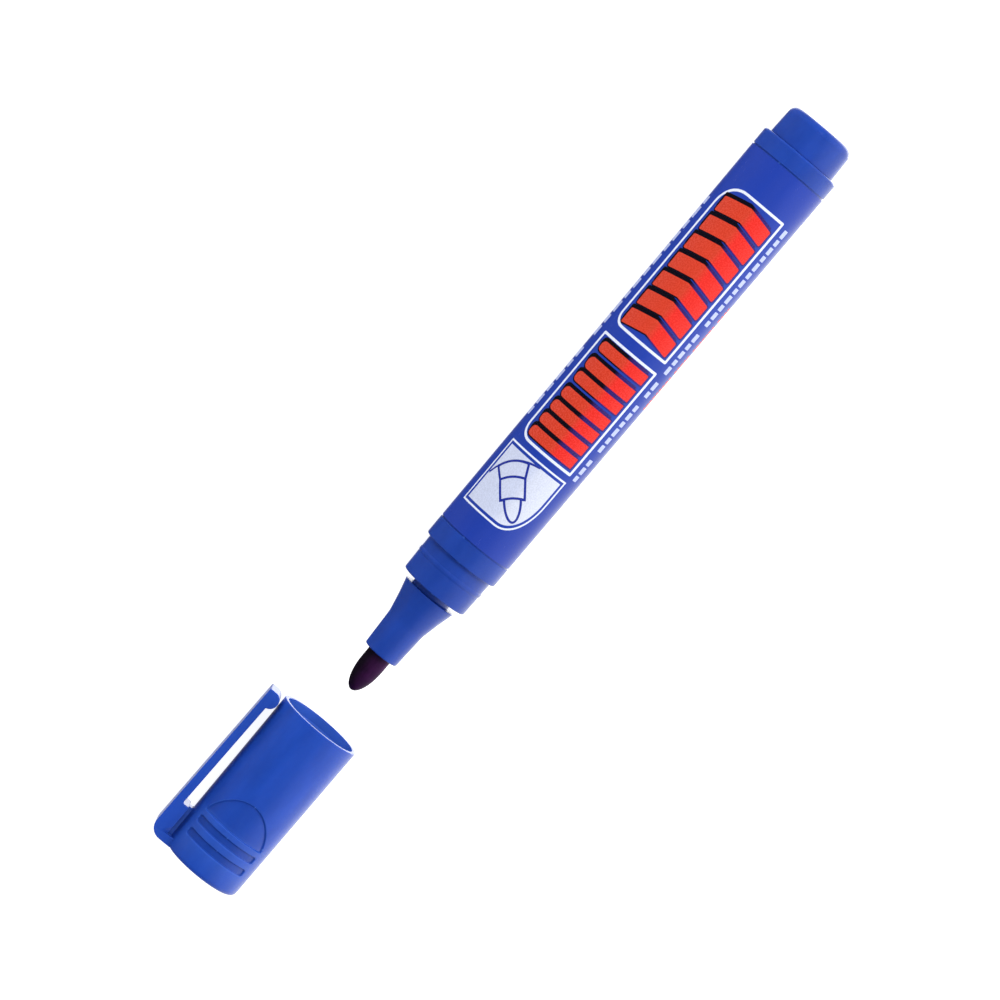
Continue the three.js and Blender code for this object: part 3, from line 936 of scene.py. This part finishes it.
def printed(name, loops, top, material):
    """Prints closed loops on the film as a thin solid; a loop inside another one is a hole."""
    curve = bpy.data.curves.new(name, "CURVE")
    curve.dimensions = "2D"
    curve.fill_mode = "BOTH"
    curve.extrude = (top - PRINT_ROOT) / 2
    for loop in loops:
        spline = curve.splines.new("POLY")
        spline.points.add(len(loop) - 1)
        spline.use_cyclic_u = True
        for point, place in zip(spline.points, loop):
            point.co = (place[0], place[1], 0, 1)
    flat = bpy.data.objects.new(name + "_flat", curve)
    bpy.context.scene.collection.objects.link(flat)
    filled = bpy.data.meshes.new_from_object(flat.evaluated_get(bpy.context.evaluated_depsgraph_get()))
    bpy.data.objects.remove(flat)
    bm = bmesh.new()
    bm.from_mesh(filled)
    bmesh.ops.remove_doubles(bm, verts=bm.verts, dist=1e-4)
    bmesh.ops.triangulate(bm, faces=bm.faces)
    across = [v.co.y for v in bm.verts]
    first = math.ceil(min(across) / PRINT_STEP)
    for k in range(first, math.ceil(max(across) / PRINT_STEP)):
        everything = [*bm.verts, *bm.edges, *bm.faces]
        cut = (0, k * PRINT_STEP, 0)
        bmesh.ops.bisect_plane(bm, geom=everything, plane_co=cut, plane_no=(0, 1, 0))
    for v in bm.verts:
        station = LABEL_FRONT - v.co.x
        lift = PRINT_ROOT if v.co.z < 0 else top
        y, z = around(label_radius(station) + lift, ART_ANGLE - v.co.y / ART_RADIUS)
        v.co = (TAIL_X_M + station * MM, y, z)
    bmesh.ops.remove_doubles(bm, verts=bm.verts, dist=1e-7)
    obj = object_from(name, bm)
    return dressed(obj, "pen", material)


def chevron(along, across, width, height, lean, rounding):
    """An arrowhead bar that points along the barrel."""
    far, middle, top = along + width, across + height / 2, across + height
    places = ((along, across), (far, across), (far + lean, middle))
    places += ((far, top), (along, top), (along + lean, middle))
    return filleted([(*p, rounding) for p in places], closed=True, steps=4)


BAND_LOW, BAND_HIGH = -5.65, 5.6
RING_LOW, RING_HIGH = -7.27, 6.75
RING_WIDTH = 0.52
# Each ring's two ends along the barrel and the fillets of its four corners.
FIRST_RING = (20.67, 45.32, (3.2, 0.3, 0.3, 0.3))
SECOND_RING = (47.5, 81.0, (2.6, 5.0, 0.3, 0.3))
FIRST_BLOCK_START = 21.85
SECOND_BLOCK_START = 48.4
SHADOW = Vector((0.72, -0.42))
EDGE_GROWTH = 0.27


def rounded_box(low, high, rounds, inset=0.0):
    """A box from low to high with a fillet at each corner, drawn smaller by inset."""
    least_round = 0.08
    near, far = Vector(low) + Vector((inset, inset)), Vector(high) - Vector((inset, inset))
    places = ((near.x, near.y), (far.x, near.y), (far.x, far.y), (near.x, far.y))
    corners = [(*p, max(least_round, r - inset)) for p, r in zip(places, rounds)]
    return filleted(corners, closed=True, steps=10)


def round_topped(along, width):
    """An upright bar with a rounded top and a square foot."""
    top, foot = width * 0.42, 0.15
    return rounded_box((along, BAND_LOW), (along + width, BAND_HIGH), (top, top, foot, foot))


def first_block():
    """Upright bars of mixed widths, one after another."""
    loops = []
    along = FIRST_BLOCK_START
    narrow, medium, wide = 2.2, 2.35, 2.6
    gap, wide_gap = 0.85, 1.38
    bars = [(narrow, gap)] * 3 + [(medium, wide_gap), (narrow, gap), (wide, wide_gap), (narrow, 0)]
    for width, space in bars:
        loops.append(round_topped(along, width))
        along += width + space
    return loops


def second_block():
    """Arrowhead bars that point towards the tail."""
    count, pitch = 7, 4.4
    width, height, lean, rounding = 3.3, BAND_HIGH - BAND_LOW, 1.2, 0.3
    places = [SECOND_BLOCK_START + pitch * k for k in range(count)]
    return [chevron(along, BAND_LOW, width, height, lean, rounding) for along in places]


def make_front_print():
    red = first_block() + second_block()
    edges = [grown(loop, EDGE_GROWTH) for loop in red]
    shadows = [[p + SHADOW for p in loop] for loop in red]
    printed("print_red_bars", red, RED_TOP, RED_INK)
    printed("print_black_edges", edges, EDGE_TOP, BLACK_INK)
    printed("print_black_shadows", shadows, SHADOW_TOP, BLACK_INK)
    rings = []
    for low, high, rounds in (FIRST_RING, SECOND_RING):
        for inset in (0, RING_WIDTH):
            rings.append(rounded_box((low, RING_LOW), (high, RING_HIGH), rounds, inset))
    printed("print_white_outlines", rings, GROUND_TOP, WHITE_INK)


def bowed(level, half_width, sag, steps=10):
    """Points across a drawing along a bow whose crown is at the given level."""
    found = []
    for k in range(steps + 1):
        v = half_width * (2 * k / steps - 1)
        found.append(Vector((level + sag * v * v, v)))
    return found


PANEL_LEFT, PANEL_RIGHT = 5.03, 19.37
PANEL_TOP, PANEL_BOTTOM = -7.81, 7.1
PANEL_OVAL = Vector((8.5, 5.8))
PANEL_OUTLINE = 0.36
PANEL_INSET = 0.92


def panel_edge(inset):
    """Square panel with one large oval corner, drawn smaller by inset."""
    left, right = PANEL_LEFT + inset, PANEL_RIGHT - inset
    top, bottom = PANEL_TOP + inset, PANEL_BOTTOM - inset
    oval = PANEL_OVAL - Vector((inset, inset))
    centre = Vector((left, bottom)) + Vector((oval.x, -oval.y))
    corner = [centre + Vector((oval.x * p.x, oval.y * p.y)) for p in arc((0, 0), 1, 90, 180, 18)]
    return [Vector((left, top)), Vector((right, top)), Vector((right, bottom))] + corner


def make_panel():
    """Pale panel in a white outline, with a plain line drawing of a bullet nib."""
    outline = [panel_edge(0), panel_edge(PANEL_OUTLINE)]
    printed("print_panel_outline", outline, GROUND_TOP, WHITE_INK)
    printed("print_panel", [panel_edge(PANEL_INSET)], GROUND_TOP, PANEL_INK)

    line = 0.46
    sag = 0.075
    nib_level, nib_base, nib_length, nib_half = 7.0, 7.3, 4.25, 1.55
    rear, middle = bowed(0, 3.1, sag), bowed(3.0, 2.4, sag)
    front, shoulder = bowed(nib_level, 2.25, sag), bowed(nib_level, nib_half, sag)
    half_turn = arc((0, 0), 1, 90, -90, 20)
    tip = [Vector((nib_base + nib_length * p.x, nib_half * p.y)) for p in half_turn]
    whole = rear + [middle[-1], front[-1]] + tip + [front[0], middle[0]]
    cells = [rear + middle[::-1], middle + front[::-1], shoulder + tip]
    bow_half, bow_sag = 5.1, 0.06
    bow = bowed(-line / 2, bow_half, bow_sag) + bowed(line / 2, bow_half, bow_sag)[::-1]

    turn = Matrix.Rotation(math.radians(139.2), 2)
    crown = Vector((16.33, -3.9))
    drawing = [grown(whole, line / 2)] + [grown(cell, -line / 2) for cell in cells]
    printed("print_icon", [[crown + turn @ p for p in loop] for loop in drawing], LINE_TOP, LINE_INK)
    printed("print_icon_bow", [[crown + turn @ p for p in bow]], BOW_TOP, LINE_INK)


def blocks(along, across, groups, height, pitch):
    """Groups of small blocks of changing width, in place of words."""
    widths = (0.62, 0.8, 0.68, 0.9)
    space, word_space = 0.25, 0.8
    corner = 0.12
    loops = []
    for group, count in enumerate(groups):
        for k in range(count):
            width = widths[(group + k) % len(widths)] * pitch
            high = (along + width, across + height)
            loops.append(rounded_box((along, across), high, (corner,) * 4))
            along += width + space * pitch
        along += word_space * pitch
    return loops


def make_small_print():
    """Rows of blocks where the object carries small text, and on the back of the label."""
    rows = blocks(20.4, 7.95, (3, 6, 2, 5, 12), 1.15, 1.93)
    rows += blocks(24.4, -11.2, (6, 12), 1.7, 2.8)
    back_start, back_top, back_pitch = 22.0, 16.4, 2.4
    back_rows = [(9, 6, 11, 4, 8), (5, 12, 7, 10), (8, 4, 9, 13, 5), (12, 7, 6)]
    for row, groups in enumerate(back_rows):
        rows += blocks(back_start, back_top + back_pitch * row, groups, 1.1, 0.9)
    printed("print_white_blocks", rows, GROUND_TOP, SMALL_INK)
    red_row = blocks(38.5, 11.3, (9, 5, 7, 4), 1.4, 0.9)
    printed("print_red_blocks", red_row, GROUND_TOP, RED_INK)
    badge_low, badge_high, badge_round, badge_line = (5.6, 15.6), (17.9, 25.4), 1.6, 0.5
    insets = (0, badge_line)
    badge = [rounded_box(badge_low, badge_high, (badge_round,) * 4, inset) for inset in insets]
    printed("print_back_badge", badge, GROUND_TOP, WHITE_INK)


# ---------------------------------------------------------------------------------------------
# Stage: floor, lights and camera
# ---------------------------------------------------------------------------------------------


def make_floor():
    """Floor under the part, hidden from reflections."""
    half_side_m = 6.0
    grey = (0.55, 0.55, 0.55)
    bm = bmesh.new()
    bmesh.ops.create_grid(bm, x_segments=2, y_segments=2, size=half_side_m)
    floor = object_from("studio_floor", bm)
    floor.location.z = CAD_LOW.z
    floor.data.materials.append(studio_floor("floor_white", grey))
    floor.visible_glossy = False


def area_light(name, place, target, size, watts):
    """A soft light that doesn't show as a reflection."""
    data = bpy.data.lights.new(name, "AREA")
    data.shape = "RECTANGLE"
    data.size, data.size_y = size
    data.energy = watts
    light = bpy.data.objects.new(name, data)
    light.location = place
    light.rotation_euler = (Vector(target) - Vector(place)).to_track_quat("-Z", "Y").to_euler()
    light.visible_glossy = False
    bpy.context.scene.collection.objects.link(light)


def make_world():
    """White room, dark on the clip's side, with a bright patch low down beyond the tail."""
    world = bpy.data.worlds.new("studio")
    world.use_nodes = True
    tree = world.node_tree
    way = tree.nodes.new("ShaderNodeTexCoord")
    parts = tree.nodes.new("ShaderNodeSeparateXYZ")
    tree.links.new(way.outputs["Generated"], parts.inputs[0])

    def ramp(axis, start, end, low, high):
        made = tree.nodes.new("ShaderNodeMapRange")
        for socket, value in zip(made.inputs[1:5], (start, end, low, high)):
            socket.default_value = value
        tree.links.new(parts.outputs[axis], made.inputs["Value"])
        return made.outputs["Result"]

    def times(first, second):
        made = tree.nodes.new("ShaderNodeMath")
        made.operation = "MULTIPLY"
        tree.links.new(first, made.inputs[0])
        tree.links.new(second, made.inputs[1])
        return made.outputs[0]

    room = ramp("Y", -0.04, 1.0, 0.05, 1.65)
    tailward, low_down = ramp("X", -0.03, -0.12, 0.0, 1.9), ramp("Z", -0.3, -0.6, 0.0, 1.0)
    patch = tree.nodes.new("ShaderNodeMath")
    patch.operation = "ADD"
    patch.inputs[1].default_value = 1.0
    tree.links.new(times(tailward, low_down), patch.inputs[0])
    background = tree.nodes["Background"]
    tree.links.new(times(room, patch.outputs[0]), background.inputs["Strength"])
    background.inputs["Color"].default_value = (1, 1, 1, 1)
    world.cycles.sampling_method = "NONE"
    bpy.context.scene.world = world


def make_lights():
    area_light("overhead_fill", (-0.25, 0.05, 0.85), (0, 0, 0), (1.5, 1.5), 9.5)
    area_light("mouth_fill", (-0.5, -0.3, 0.45), (0.07, 0, 0), (0.4, 0.4), 2.8)
    area_light("clip_side_fill", (0, -1.0, 0.3), (0, 0, 0), (1.0, 0.5), 1.2)
    make_world()
    bpy.context.scene.view_settings.view_transform = "Standard"


def make_camera():
    """Looks down on the flank of the cap with a long lens; the tail is the nearer end."""
    past_flank = math.radians(3.5)
    tilt, roll = math.radians(4.71), math.radians(49.84)
    distance_m = 0.82
    aim_along, aim_away = 0.81, 1.46
    elevation = math.pi - CLIP_ANGLE - past_flank
    square_on = Vector((0, -math.cos(elevation), math.sin(elevation)))
    away = Vector((0, math.sin(elevation), math.cos(elevation)))
    towards_tail = Vector((-1, 0, 0))
    back = square_on * math.cos(tilt) + towards_tail * math.sin(tilt)
    tailward = towards_tail * math.cos(tilt) - square_on * math.sin(tilt)
    right = tailward * math.cos(roll) + away * math.sin(roll)
    up = tailward * math.sin(roll) - away * math.cos(roll)
    aim = Vector((aim_along * MM, AXIS_Y_M, AXIS_Z_M)) - away * aim_away * MM
    data = bpy.data.cameras.new("camera")
    data.lens, data.sensor_width = 160.24, 36
    data.clip_start = 0.05
    camera = bpy.data.objects.new("camera", data)
    turn = Matrix((right, up, back)).transposed().to_4x4()
    camera.matrix_world = Matrix.Translation(aim + back * distance_m) @ turn
    bpy.context.scene.collection.objects.link(camera)
    bpy.context.scene.camera = camera


def dress_hidden_nodes():
    """Looks of the two hidden pieces that stay as their CAD nodes."""
    for node, look in (("ink_reservoir", FIBRE), ("reservoir_wrap", WRAP)):
        slots = frame["nodes"][node].material_slots
        if slots:
            slots[0].material = look
        else:
            frame["nodes"][node].data.materials.append(look)


make_camera()
make_floor()
make_lights()
make_rear_plug()
make_barrel()
make_label()
make_nib_holder()
make_nib()
make_cap_cup()
make_clip_strap()
make_clip_foot()
make_inner_cap()
make_front_print()
make_panel()
make_small_print()
dress_hidden_nodes()

bpy.context.view_layer.update()
